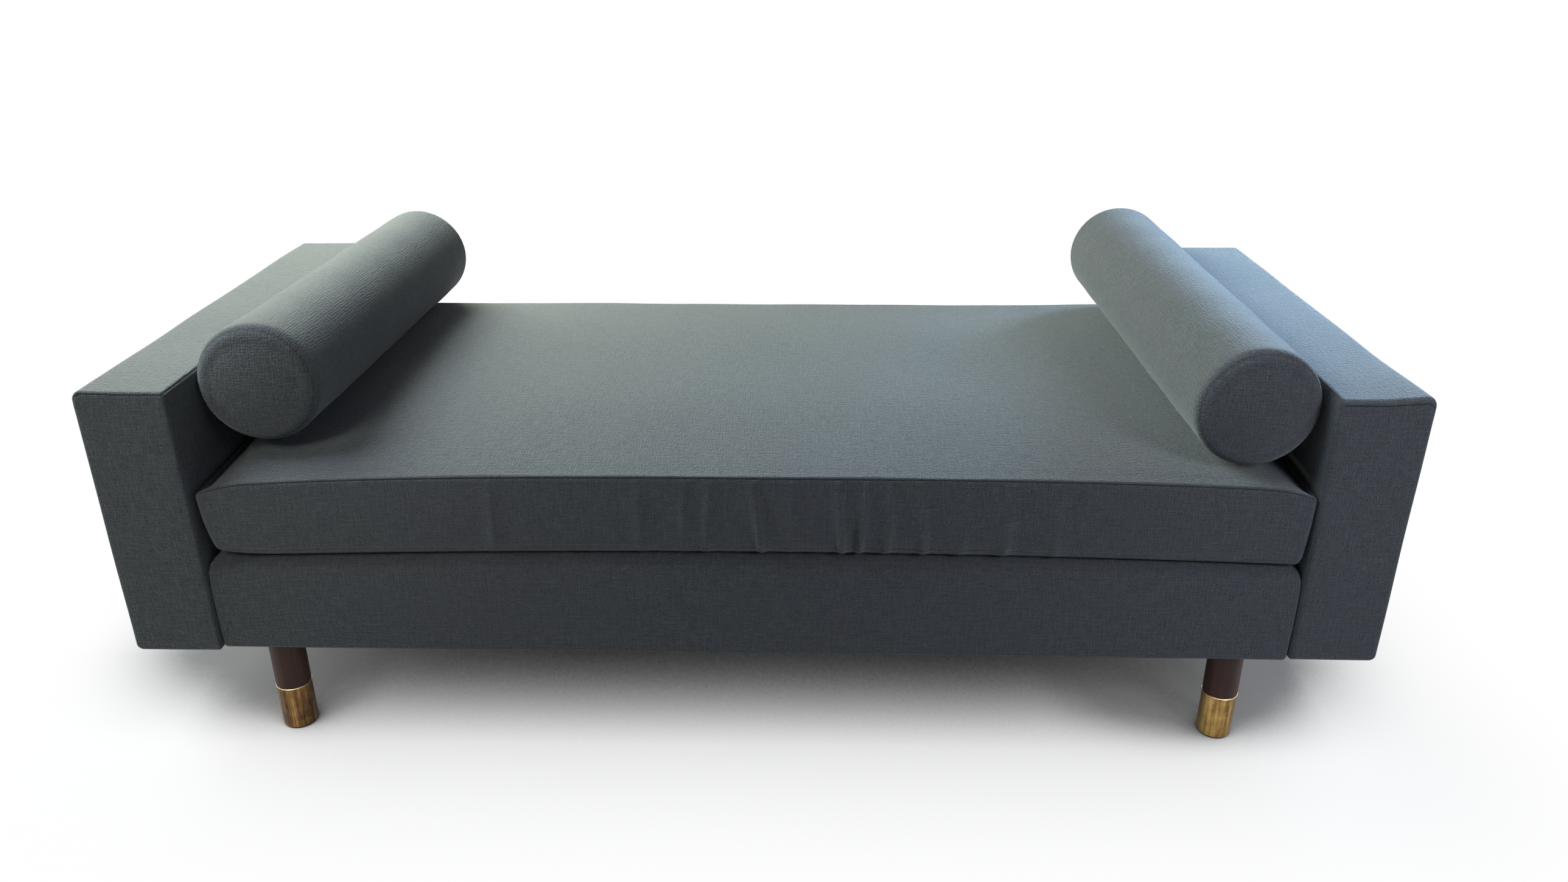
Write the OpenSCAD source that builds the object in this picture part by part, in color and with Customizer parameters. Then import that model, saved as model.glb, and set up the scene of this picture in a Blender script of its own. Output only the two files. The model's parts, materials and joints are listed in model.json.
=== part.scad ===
// Upholstered backless daybed: a padded rail frame between two panel arms,
// one loose crowned seat cushion, two loose bolsters and four turned legs in
// brass ferrules. Millimetres, +Z up, the front faces -Y. The origin is on
// the floor, under the middle of the whole piece's bounding box.

/* [Overall] */
// Width over both arms
overall_w = 1940; // [1500:10:2300]
// Depth over the arm panels
frame_d = 840; // [720:10:960]
// Height of the arm tops above the floor
arm_h = 620; // [580:5:720]

/* [Arms] */
// Thickness of one finished arm
arm_t = 135; // [100:5:170]
// Padding on each side face of an arm
arm_pad = 20; // [12:1:28]
// Padding on top of an arm
arm_top_pad_t = 25; // [22:1:36]
// Padded panel that closes the front and the back of an arm
arm_panel_t = 20; // [12:1:28]
// Radius of the outer top edge of an arm
arm_top_r = 15; // [10:1:21]
// Radius of the outer bottom edge of an arm
arm_bottom_r = 10; // [4:1:12]
// Radius of the seam edge along the inner top of an arm
arm_seam_r = 4; // [2:1:8]
// Height of the board that closes the bottom of an arm
arm_bottom_board = 28; // [18:1:36]
// Height of the board under the top padding of an arm
arm_top_board = 30; // [18:1:40]
// Depth of an arm post, front to back
arm_post_d = 45; // [30:1:70]

/* [Rails and deck] */
// Height of the arm undersides above the floor
arm_clear = 183; // [140:2:240]
// Distance of the rail undersides above the arm undersides
rail_lift = 3; // [0:1:10]
// Height of a finished rail, padding included
rail_h = 162; // [140:1:190]
// Set-back of the padded rail face from the arm front
rail_inset = 7; // [4:1:16]
// Thickness of a hardwood rail board
rail_board_t = 28; // [20:1:35]
// Padding on the face of a rail
rail_face_pad = 22; // [14:1:30]
// Padding on top of a rail
rail_top_pad = 18; // [10:1:24]
// Fabric turned under a rail
rail_under_pad = 6; // [3:1:8]
// Radius of the padded upper edge of a rail
rail_edge_r = 14; // [6:1:18]
// Thickness of the felt pad on the slats
deck_pad_t = 40; // [30:1:50]
// Width of a slat ledger
ledger_w = 30; // [20:1:45]
// Height of a slat ledger
ledger_h = 28; // [20:1:35]
// Number of slats
slat_n = 12; // [8:1:14]
// Width of a slat
slat_w = 70; // [40:2:90]
// Thickness of a slat
slat_t = 18; // [12:1:22]
// End play of a slat between the rails
slat_play = 1; // [0.5:0.5:4]
// Distance of the cross rails from the middle
cross_rail_x = 300; // [150:10:450]
// Thickness of a cross rail
cross_rail_t = 32; // [20:1:50]
// Thickness of the black cloth under the frame
dust_cloth_t = 1.2; // [0.8:0.1:3]

/* [Legs] */
// Diameter of a turned leg
leg_d = 55; // [40:1:70]
// Distance of the leg centres in from the arm's inner face
leg_in_x = 69; // [50:1:160]
// Distance of the leg centres in from the arm front
leg_in_y = 69; // [62:1:90]
// Height of the ferrule top above the floor
ferrule_top = 80; // [40:1:100]
// Wall of the brass ferrule
ferrule_wall = 1.5; // [1:0.1:3]
// Height of the rolled rim at the ferrule top
ferrule_rim_h = 3; // [2:0.5:6]
// How far the rolled rim stands proud
ferrule_rim_proud = 0.8; // [0.4:0.1:2]
// Floor of the ferrule cup
ferrule_floor = 3; // [2:0.5:6]
// Height of the nylon glide
glide_h = 3; // [2:0.5:6]
// Set-back of the glide edge from the leg surface
glide_inset = 3; // [1:0.5:8]
// Diameter of the hanger bolt
bolt_d = 10; // [8:1:14]
// Bolt length in the leg
bolt_in_leg = 50; // [30:1:80]
// Side of a corner block
block_side = 80; // [64:1:110]
// Diameter of the tee nut flange
nut_d = 20; // [16:1:22]
// Thickness of the tee nut flange
nut_t = 2; // [1.5:0.5:4]

/* [Seat cushion] */
// Height of the cushion at its front and back edge
cushion_edge_h = 141; // [90:1:170]
// Extra height at the middle, front to back
crown_depth = 21; // [8:1:36]
// Extra height at the middle, end to end
crown_width = 16; // [8:1:36]
// Set-back of the cushion face from the arm front
cushion_inset = 5; // [0:1:16]
// Side clearance between cushion and arm
cushion_play = 1; // [0.5:0.5:6]
// Thickness of the quilted cushion cover
cover_t = 3; // [2:0.5:6]
// Radius of the cushion's lower edges
cushion_bottom_r = 16; // [6:1:24]
// How far the top panel turns down over the border
top_turn = 7; // [3:1:12]
// Length of the zip in the back border
zip_len = 1200; // [400:20:1400]
// Width of the zip tape
zip_w = 12; // [8:1:24]
// Thickness of the zip
zip_t = 1.5; // [1:0.5:3]

/* [Bolsters] */
// Diameter of a bolster
bolster_d = 190; // [140:2:220]
// Length of a bolster
bolster_len = 830; // [500:10:900]
// Radius of the soft edge of a bolster end
bolster_edge_r = 18; // [8:1:40]
// Thickness of the bolster cover
bolster_cover_t = 2; // [1:0.5:4]
// Distance of the left bolster's front end from the arm front
bolster_left_in = 91; // [20:1:300]
// Distance of the right bolster's front end from the arm front
bolster_right_in = 36; // [20:1:300]
// Angle of the left bolster to its arm
bolster_left_yaw = 0.5; // [0:0.5:6]
// Angle of the right bolster to its arm
bolster_right_yaw = 1.5; // [0:0.5:6]
// Gap between a resting bolster and what it touches
rest_gap = 0.3; // [0.2:0.1:1]

/* [Hidden] */
FRAME_NODES = [
    "front_rail", "back_rail",
    "cross_rail_left", "cross_rail_right",
    "ledger_front", "ledger_back", "slats",
    "corner_block_front_left", "corner_block_front_right",
    "corner_block_back_left", "corner_block_back_right",
    "front_rail_cover", "back_rail_cover", "deck_pad", "dust_cloth"
];
LEG_NODES = [
    "leg_front_left", "leg_front_right", "leg_back_left", "leg_back_right",
    "ferrule_front_left", "ferrule_front_right", "ferrule_back_left", "ferrule_back_right",
    "glide_front_left", "glide_front_right", "glide_back_left", "glide_back_right",
    "leg_bolt_front_left", "leg_bolt_front_right", "leg_bolt_back_left", "leg_bolt_back_right"
];
ARM_NODES = [
    "arm_bottom_board_left", "arm_bottom_board_right",
    "arm_post_front_left", "arm_post_front_right", "arm_post_back_left", "arm_post_back_right",
    "arm_top_board_left", "arm_top_board_right",
    "arm_inner_pad_left", "arm_inner_pad_right",
    "arm_outer_pad_left", "arm_outer_pad_right",
    "arm_top_pad_left", "arm_top_pad_right",
    "arm_front_panel_left", "arm_front_panel_right",
    "arm_back_panel_left", "arm_back_panel_right"
];
SOFT_NODES = [
    "cushion_core", "cushion_top_panel", "cushion_border", "cushion_bottom_panel", "cushion_zip",
    "bolster_core_left", "bolster_cover_left", "bolster_core_right", "bolster_cover_right"
];

SIDE = [["left", -1], ["right", 1]];
END = [["front", -1], ["back", 1]];
FABRIC = "#4b5257";
WOOD = "#c9a678";
WALNUT = "#3b2420";
BRASS = "#9a7b3c";
FOAM = "#e6dcb4";
STEEL = "#9aa0a4";
ROUND = 96;
// Facets of the very large circles that draw the cushion's crown
CROWN = 1440;
// Overshoot of a cutting solid past the face it cuts
over = 1;
// Radial clearance of the hanger bolt in its bore
bolt_play = 0.3;

half_d = frame_d / 2;
arm_in = overall_w / 2 - arm_t;
arm_out = overall_w / 2;
core_in = arm_in + arm_pad;
core_out = arm_out - arm_pad;
core_y = half_d - arm_panel_t;
core_top = arm_h - arm_top_pad_t;
arm_board_top = arm_clear + arm_bottom_board;
post_top = core_top - arm_top_board;

rail_z = arm_clear + rail_lift;
deck_z = rail_z + rail_h;
board_z = rail_z + rail_under_pad;
board_top = deck_z - rail_top_pad;
rail_face = half_d - rail_inset;
board_face = rail_face - rail_face_pad;
board_back = board_face - rail_board_t;
deck_pad_z = deck_z - deck_pad_t;
slat_z = deck_pad_z - slat_t;
ledger_z = slat_z - ledger_h;

leg_x = arm_in - leg_in_x;
leg_y = half_d - leg_in_y;
leg_r = leg_d / 2;
cup_z = glide_h + ferrule_floor;
block_h = ledger_z - board_z;
under_lip = leg_y + leg_r + 2 * over;
bolt_z = board_z - bolt_in_leg;

cushion_half_w = arm_in - cushion_play;
cushion_half_d = half_d - cushion_inset;
cushion_z = deck_z + rest_gap;
cushion_edge_z = cushion_z + cushion_edge_h;
cushion_top = cushion_edge_z + crown_depth;
// Radius of an arc from its half chord and its rise
function arc_r(half_chord, rise) = (half_chord * half_chord + rise * rise) / (2 * rise);
crown_r_depth = arc_r(cushion_half_d, crown_depth);
crown_r_width = arc_r(cushion_half_w, crown_width);
seam_z = min(cushion_edge_z, cushion_top - crown_width) - top_turn;

bolster_r = bolster_d / 2;
bolster_x = arm_in - bolster_r - cushion_play;
// Height of a bolster's axis where it rests on the crown, at a distance from the middle
function bolster_axis_z(x) = cushion_top - crown_r_width
    + sqrt(pow(crown_r_width + bolster_r + rest_gap, 2) - x * x);
// How far back a bolster reaches from its front end's place and its angle
function reach(front, yaw) = -half_d + front + (bolster_len - bolster_edge_r) * cos(yaw)
    + (bolster_r - bolster_edge_r) * sin(yaw) + bolster_edge_r;
left_reach = reach(bolster_left_in, bolster_left_yaw);
right_reach = reach(bolster_right_in, bolster_right_yaw);
// The bolsters overhang the back, so the whole piece's middle lies behind the frame's
origin_y = (max(left_reach, right_reach, half_d) - half_d) / 2;

// Moves a piece from the frame's own middle to the middle of the whole daybed
module on_origin() {
    translate([0, -origin_y, 0])
        children();
}

// Waste left between a square corner and its quarter circle
module corner_waste(r) {
    difference() {
        translate([-over, -over])
            square(r + over);
        translate([r, r])
            circle(r, $fn = ROUND);
        translate([r, -2 * over])
            square([2 * over, 2 * r]);
        translate([-2 * over, r])
            square([2 * r, 2 * over]);
    }
}

// Rectangle from [x0, y0] to [x1, y1] with its own radius at each corner
module soft_rect(x0, y0, x1, y1, low_left, low_right, top_left, top_right) {
    difference() {
        translate([x0, y0])
            square([x1 - x0, y1 - y0]);
        if (low_left > 0) translate([x0, y0]) corner_waste(low_left);
        if (low_right > 0) translate([x1, y0]) mirror([1, 0]) corner_waste(low_right);
        if (top_left > 0) translate([x0, y1]) mirror([0, 1]) corner_waste(top_left);
        if (top_right > 0) translate([x1, y1]) rotate(180) corner_waste(top_right);
    }
}

// Box between two opposite corners
module block(low, high) {
    translate(low)
        cube(high - low);
}

// Draws an X-Z outline from y0 to y1
module along_y(y0, y1) {
    translate([0, y1, 0])
        rotate([90, 0, 0])
            linear_extrude(y1 - y0)
                children();
}

// Draws a Y-Z outline from x0 to x1
module along_x(x0, x1) {
    translate([x0, 0, 0])
        rotate([90, 0, 90])
            linear_extrude(x1 - x0)
                children();
}

// Side-mirrored copy: side is -1 for the left and 1 for the right
module at_side(side) {
    if (side < 0) mirror([1, 0, 0]) children();
    else children();
}

// End-mirrored copy: end is -1 for the front and 1 for the back
module at_end(end) {
    if (end > 0) mirror([0, 1, 0]) children();
    else children();
}

// Long hardwood board between the arm posts
module rail_board(end) {
    color(WOOD)
        at_end(end)
            block([-core_in, -board_face, board_z], [core_in, -board_back, board_top]);
}

// Strip that carries the slat ends, screwed to the rail
module ledger(end) {
    color(WOOD)
        at_end(end)
            block([-core_in, -board_back, ledger_z], [core_in, ledger_w - board_back, slat_z]);
}

// Board that ties the two rails together below the slats
module cross_rail(side) {
    color(WOOD)
        at_side(side)
            block([cross_rail_x - cross_rail_t / 2, -board_back, board_z],
                  [cross_rail_x + cross_rail_t / 2, board_back, ledger_z]);
}

// Slats at an even pitch, seated on the two ledgers
module slats() {
    pitch = 2 * arm_in / slat_n;
    color(WOOD)
        for (i = [0:slat_n - 1])
            translate([(i + 0.5) * pitch - arm_in, 0, 0])
                block([-slat_w / 2, slat_play - board_back, slat_z],
                      [slat_w / 2, board_back - slat_play, deck_pad_z]);
}

// Block that takes the leg's bolt, glued into the rail's inner corner
module corner_block(side, end) {
    color(WOOD)
        at_side(side)
            at_end(end)
                difference() {
                    block([leg_x - block_side / 2, -board_back, board_z],
                          [leg_x + block_side / 2, block_side - board_back, board_z + block_h]);
                    translate([leg_x, -leg_y, board_z - over])
                        cylinder(h = block_h + 2 * over, d = bolt_d + 2 * bolt_play, $fn = ROUND);
                    translate([leg_x, -leg_y, board_z + block_h - nut_t])
                        cylinder(h = nut_t + over, d = nut_d + 2 * bolt_play, $fn = ROUND);
                }
}

// Foam and cloth over a rail: face, rounded upper edge, top and a lip turned under
module rail_cover(end) {
    color(FABRIC)
        at_end(end)
            along_x(-arm_in, arm_in)
                difference() {
                    soft_rect(-rail_face, rail_z, -board_back, deck_z,
                              rail_under_pad, 0, rail_edge_r, 0);
                    translate([-board_face, board_z])
                        square([rail_board_t + over, board_top - board_z]);
                    translate([-under_lip, rail_z - over])
                        square([under_lip, rail_under_pad + over]);
                }
}

// Felt-faced pad on the slats, level with the rail tops
module deck_pad() {
    color(FOAM)
        block([-core_in, -board_back, deck_pad_z], [core_in, board_back, deck_z]);
}

// Black cloth stapled under the frame, cut out round the legs
module dust_cloth() {
    color("#1c1c1e")
        difference() {
            block([-core_in, -under_lip, board_z - dust_cloth_t], [core_in, under_lip, board_z]);
            for (side = [-1, 1], end = [-1, 1])
                translate([side * leg_x, end * leg_y, board_z - dust_cloth_t - over])
                    cylinder(h = dust_cloth_t + 2 * over, r = leg_r + rest_gap, $fn = ROUND);
        }
}

// Turned leg: plain round shaft with a reduced, chamfered tenon for the ferrule
module leg(side, end) {
    tenon_r = leg_r - ferrule_wall;
    chamfer = 2;
    color(WALNUT)
        translate([side * leg_x, end * leg_y, 0])
            difference() {
                rotate_extrude($fn = ROUND)
                    polygon([
                        [0, cup_z],
                        [tenon_r - chamfer, cup_z],
                        [tenon_r, cup_z + chamfer],
                        [tenon_r, ferrule_top],
                        [leg_r, ferrule_top],
                        [leg_r, board_z],
                        [0, board_z]
                    ]);
                translate([0, 0, bolt_z])
                    cylinder(h = bolt_in_leg + over, d = bolt_d + 2 * bolt_play, $fn = ROUND);
            }
}

// Spun brass cup round the leg's foot, with a rolled rim
module ferrule(side, end) {
    foot_r = 1;
    color(BRASS)
        translate([side * leg_x, end * leg_y, 0])
            rotate_extrude($fn = ROUND)
                polygon([
                    [0, glide_h],
                    [leg_r - foot_r, glide_h],
                    [leg_r, glide_h + foot_r],
                    [leg_r, ferrule_top - ferrule_rim_h],
                    [leg_r + ferrule_rim_proud, ferrule_top - ferrule_rim_h + ferrule_rim_proud],
                    [leg_r + ferrule_rim_proud, ferrule_top - ferrule_rim_proud],
                    [leg_r, ferrule_top],
                    [leg_r - ferrule_wall, ferrule_top],
                    [leg_r - ferrule_wall, cup_z],
                    [0, cup_z]
                ]);
}

// Nylon glide under the ferrule
module glide(side, end) {
    color("#2a2a2a")
        translate([side * leg_x, end * leg_y, 0])
            cylinder(h = glide_h, r = leg_r - glide_inset, $fn = ROUND);
}

// Hanger bolt in the leg, with its tee nut let into the corner block
module leg_bolt(side, end) {
    color(STEEL)
        translate([side * leg_x, end * leg_y, bolt_z]) {
            cylinder(h = bolt_in_leg + block_h - nut_t / 2, d = bolt_d, $fn = ROUND);
            translate([0, 0, bolt_in_leg + block_h - nut_t])
                cylinder(h = nut_t, d = nut_d, $fn = ROUND);
        }
}

// Board laid flat that closes the arm's underside
module arm_bottom_board(side) {
    color(WOOD)
        at_side(side)
            block([core_in, -core_y, arm_clear], [core_out, core_y, arm_board_top]);
}

// Upright at one end of the arm; the long rail butts against its inner face
module arm_post(side, end) {
    color(WOOD)
        at_side(side)
            at_end(end)
                block([core_in, -core_y, arm_board_top], [core_out, arm_post_d - core_y, post_top]);
}

// Board across the two posts, under the arm's top padding
module arm_top_board(side) {
    color(WOOD)
        at_side(side)
            block([core_in, -core_y, post_top], [core_out, core_y, core_top]);
}

// Padded panel on the seat side, above the deck
module arm_inner_pad(side) {
    color(FABRIC)
        at_side(side)
            block([arm_in, -core_y, deck_z], [core_in, core_y, core_top]);
}

// Padded panel on the outside, rounded under
module arm_outer_pad(side) {
    color(FABRIC)
        at_side(side)
            along_y(-core_y, core_y)
                soft_rect(core_out, arm_clear, arm_out, core_top, 0, arm_bottom_r, 0, 0);
}

// Padding along the arm top: full round outside, seam edge inside
module arm_top_pad(side) {
    color(FABRIC)
        at_side(side)
            along_y(-core_y, core_y)
                soft_rect(arm_in, core_top, arm_out, arm_h, 0, 0, arm_seam_r, arm_top_r);
}

// Padded panel that closes the arm's front or back, in the arm's own outline
module arm_end_panel(side, end) {
    color(FABRIC)
        at_side(side)
            at_end(end)
                along_y(-half_d, -core_y)
                    soft_rect(arm_in, arm_clear, arm_out, arm_h,
                              arm_seam_r, arm_bottom_r, arm_seam_r, arm_top_r);
}

// Crowned cushion shape, drawn in from its outside by a skin thickness
module cushion_form(skin) {
    half_w = cushion_half_w - skin;
    half_dep = cushion_half_d - skin;
    low = cushion_z + skin;
    bottom_r = cushion_bottom_r - skin;
    intersection() {
        along_x(-half_w, half_w)
            intersection() {
                soft_rect(-half_dep, low, half_dep, cushion_top, bottom_r, bottom_r, 0, 0);
                translate([0, cushion_top - crown_r_depth])
                    circle(crown_r_depth - skin, $fn = CROWN);
            }
        along_y(-half_dep, half_dep)
            intersection() {
                soft_rect(-half_w, low, half_w, cushion_top, bottom_r, bottom_r, 0, 0);
                translate([0, cushion_top - crown_r_width])
                    circle(crown_r_width - skin, $fn = CROWN);
            }
    }
}

// Everything of the cushion's size between two heights
module cushion_slice(z0, z1) {
    block([-cushion_half_w - over, -cushion_half_d - over, z0],
          [cushion_half_w + over, cushion_half_d + over, z1]);
}

// Foam core
module cushion_core() {
    color(FOAM)
        cushion_form(cover_t);
}

// Cover between two heights, wrapped round the core
module cushion_skin(z0, z1) {
    color(FABRIC)
        difference() {
            intersection() {
                cushion_form(0);
                cushion_slice(z0, z1);
            }
            cushion_form(cover_t);
        }
}

module cushion_top_panel() {
    cushion_skin(seam_z, cushion_top + over);
}

module cushion_border() {
    cushion_skin(cushion_z + cushion_bottom_r, seam_z);
}

module cushion_bottom_panel() {
    cushion_skin(cushion_z - over, cushion_z + cushion_bottom_r);
}

// Zip along the middle of the back border
module cushion_zip() {
    zip_z = (cushion_z + seam_z) / 2;
    color("#202224")
        block([-zip_len / 2, cushion_half_d, zip_z - zip_w / 2],
              [zip_len / 2, cushion_half_d + zip_t, zip_z + zip_w / 2]);
}

// Round bolster shape along +Y from its front end, drawn in by a skin thickness
module bolster_form(skin) {
    edge_r = bolster_edge_r - skin;
    rotate([-90, 0, 0])
        rotate_extrude($fn = ROUND)
            soft_rect(0, skin, bolster_r - skin, bolster_len - skin, 0, edge_r, 0, edge_r);
}

// Puts a bolster against its arm, on the crowned cushion
module bolster_seat(side) {
    front = side < 0 ? bolster_left_in : bolster_right_in;
    yaw = side < 0 ? bolster_left_yaw : bolster_right_yaw;
    inboard_x = bolster_x - bolster_len * sin(yaw);
    translate([side * bolster_x, front - half_d, bolster_axis_z(inboard_x)])
        rotate([0, 0, side * yaw])
            children();
}

module bolster_core(side) {
    color(FOAM)
        bolster_seat(side)
            bolster_form(bolster_cover_t);
}

module bolster_cover(side) {
    color(FABRIC)
        bolster_seat(side)
            difference() {
                bolster_form(0);
                bolster_form(bolster_cover_t);
            }
}

on_origin() rail_board(-1);  // front_rail
on_origin() rail_board(1);  // back_rail
on_origin() ledger(-1);  // ledger_front
on_origin() ledger(1);  // ledger_back
on_origin() slats();
on_origin() rail_cover(-1);  // front_rail_cover
on_origin() rail_cover(1);  // back_rail_cover
on_origin() deck_pad();
on_origin() dust_cloth();
on_origin() cushion_core();
on_origin() cushion_top_panel();
on_origin() cushion_border();
on_origin() cushion_bottom_panel();
on_origin() cushion_zip();
for (s = SIDE) {
    on_origin() cross_rail(s[1]);
    on_origin() arm_bottom_board(s[1]);
    on_origin() arm_top_board(s[1]);
    on_origin() arm_inner_pad(s[1]);
    on_origin() arm_outer_pad(s[1]);
    on_origin() arm_top_pad(s[1]);
    on_origin() bolster_core(s[1]);
    on_origin() bolster_cover(s[1]);
    for (e = END) {
        on_origin() corner_block(s[1], e[1]);
        on_origin() leg(s[1], e[1]);
        on_origin() ferrule(s[1], e[1]);
        on_origin() glide(s[1], e[1]);
        on_origin() leg_bolt(s[1], e[1]);
        on_origin() arm_post(s[1], e[1]);
        on_origin() arm_end_panel(s[1], e[1]);
    }
}
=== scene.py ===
"""Looks of the upholstered daybed: covers, cushion, bolsters, wood, brass, floor, light, camera."""

import json
import math

import bpy
import numpy as np
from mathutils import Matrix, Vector
from mathutils.bvhtree import BVHTree


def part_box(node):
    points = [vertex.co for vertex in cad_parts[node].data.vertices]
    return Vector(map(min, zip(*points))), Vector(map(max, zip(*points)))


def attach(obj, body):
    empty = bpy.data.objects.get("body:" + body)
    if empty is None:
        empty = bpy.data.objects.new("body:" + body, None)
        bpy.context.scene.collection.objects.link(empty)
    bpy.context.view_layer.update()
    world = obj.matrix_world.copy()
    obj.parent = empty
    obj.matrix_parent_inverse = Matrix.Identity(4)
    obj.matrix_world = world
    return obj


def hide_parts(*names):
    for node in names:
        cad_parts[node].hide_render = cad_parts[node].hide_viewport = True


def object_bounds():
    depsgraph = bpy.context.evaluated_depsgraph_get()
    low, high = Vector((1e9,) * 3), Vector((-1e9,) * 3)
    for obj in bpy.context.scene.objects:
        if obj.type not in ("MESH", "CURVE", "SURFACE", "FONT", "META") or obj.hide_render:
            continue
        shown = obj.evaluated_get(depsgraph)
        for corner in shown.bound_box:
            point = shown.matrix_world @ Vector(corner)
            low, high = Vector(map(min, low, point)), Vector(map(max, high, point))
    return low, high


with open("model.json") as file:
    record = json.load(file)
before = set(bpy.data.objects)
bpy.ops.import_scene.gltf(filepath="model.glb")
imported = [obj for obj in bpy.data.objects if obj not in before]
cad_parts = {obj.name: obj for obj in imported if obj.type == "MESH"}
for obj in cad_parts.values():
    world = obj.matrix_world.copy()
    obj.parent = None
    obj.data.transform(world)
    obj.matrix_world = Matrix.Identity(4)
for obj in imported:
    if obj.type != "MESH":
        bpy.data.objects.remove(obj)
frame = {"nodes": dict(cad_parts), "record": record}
CAD_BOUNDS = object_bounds()
SIDES = {"left": -1.0, "right": 1.0}
ENDS = {"front": -1.0, "back": 1.0}
MM = 0.001
THREAD = 4.2 * MM  # spacing of the cloth's threads
DECK_BOW = 7.5 * MM  # how far the deck rises in the middle and sinks at its ends
SWELL_FRAMES, SWELL_PRESSURE = 20, 4.0  # of the cloth simulation


# --- Places taken from the frame ------------------------------------------------------------

def node_box(*nodes):
    """Lowest and highest corner over several CAD nodes, as arrays."""
    boxes = [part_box(node) for node in nodes]
    low = np.min([np.array(box[0]) for box in boxes], axis=0)
    high = np.max([np.array(box[1]) for box in boxes], axis=0)
    return low, high


ARM_NODES = {
    side: [f"arm_{part}_{side}" for part in
           ("inner_pad", "outer_pad", "top_pad", "front_panel", "back_panel")]
    for side in SIDES
}
ARM_BOX = {side: node_box(*ARM_NODES[side]) for side in SIDES}
CUSHION_NODES = ["cushion_core", "cushion_top_panel", "cushion_border", "cushion_bottom_panel"]
CUSHION_BOX = node_box(*CUSHION_NODES)
FRAME_MID_Y = (ARM_BOX["left"][0][1] + ARM_BOX["left"][1][1]) / 2
FLOOR_HALF = (CAD_BOUNDS[1][0], CAD_BOUNDS[1][1])
FERRULE_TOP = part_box("ferrule_front_left")[1][2]


# --- Materials ------------------------------------------------------------------------------

class Nodes:
    """Short hand for building a node tree."""

    def __init__(self, name, tree=None):
        if tree is None:
            self.material = bpy.data.materials.new(name)
            self.material.use_nodes = True
            tree = self.material.node_tree
        self.tree = tree
        self.tree.nodes.clear()

    def add(self, kind, **settings):
        """Node with its settings; an input is a value or another node's output."""
        node = self.tree.nodes.new(kind)
        inputs = settings.pop("inputs", {})
        for key, value in settings.items():
            setattr(node, key, value)
        for key, value in inputs.items():
            if isinstance(value, bpy.types.NodeSocket):
                self.tree.links.new(value, node.inputs[key])
            else:
                node.inputs[key].default_value = value
        return node

    def math(self, operation, a, b=0.0, c=0.0):
        return self.add("ShaderNodeMath", operation=operation,
                        inputs={0: a, 1: b, 2: c}).outputs[0]

    def weighted(self, *terms):
        """Sum of values, each times its weight."""
        parts = [self.math("MULTIPLY", value, weight) for value, weight in terms]
        total = parts[0]
        for part in parts[1:]:
            total = self.math("ADD", total, part)
        return total

    def speckles(self, value, limit, strength):
        """The given strength where a value lies under the limit, else 0."""
        return self.math("MULTIPLY", self.math("LESS_THAN", value, limit), strength)

    def remap(self, value, low, high, to_low=0.0, to_high=1.0, kind="LINEAR"):
        return self.add("ShaderNodeMapRange", interpolation_type=kind, inputs={
            "Value": value, "From Min": low, "From Max": high,
            "To Min": to_low, "To Max": to_high}).outputs[0]

    def place(self):
        """Place on the object itself, in metres."""
        return self.add("ShaderNodeTexCoord").outputs["Object"]

    def split(self, vector):
        return self.add("ShaderNodeSeparateXYZ", inputs={"Vector": vector}).outputs

    def noise(self, vector, scale, detail=2.0, roughness=0.5):
        """Noise; with three scales, it is drawn out along the axis with the smallest."""
        if isinstance(scale, tuple):
            vector = self.add("ShaderNodeMapping", inputs={
                "Vector": vector, "Scale": scale}).outputs["Vector"]
            scale = 1.0
        return self.add("ShaderNodeTexNoise", inputs={
            "Vector": vector, "Scale": scale, "Detail": detail, "Roughness": roughness,
        }).outputs["Fac"]

    def ramp(self, value, stops):
        node = self.add("ShaderNodeValToRGB", inputs={"Fac": value})
        elements = node.color_ramp.elements
        while len(elements) < len(stops):
            elements.new(0.5)
        for element, (position, color) in zip(elements, stops):
            element.position = position
            element.color = (*color, 1.0)
        return node.outputs["Color"]

    def mix(self, factor, a, b):
        """Colour between a and b, each a colour or another node's output."""
        ends = [c if isinstance(c, bpy.types.NodeSocket) else (*c, 1.0) for c in (a, b)]
        return self.add("ShaderNodeMix", data_type="RGBA",
                        inputs={0: factor, 6: ends[0], 7: ends[1]}).outputs[2]

    def finish(self, shader):
        """The material, with a shader's output as its surface."""
        self.add("ShaderNodeOutputMaterial", inputs={"Surface": shader})
        return self.material

    def surface(self, color, roughness, height, strength, depth, **more):
        """The material with a Principled surface over a bump of the given strength and depth."""
        relief = self.add("ShaderNodeBump", inputs={
            "Strength": strength, "Distance": depth, "Height": height}).outputs["Normal"]
        inputs = {"Base Color": color, "Roughness": roughness, "Normal": relief}
        inputs.update({key.replace("_", " "): value for key, value in more.items()})
        return self.finish(self.add("ShaderNodeBsdfPrincipled", inputs=inputs).outputs[0])


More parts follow.
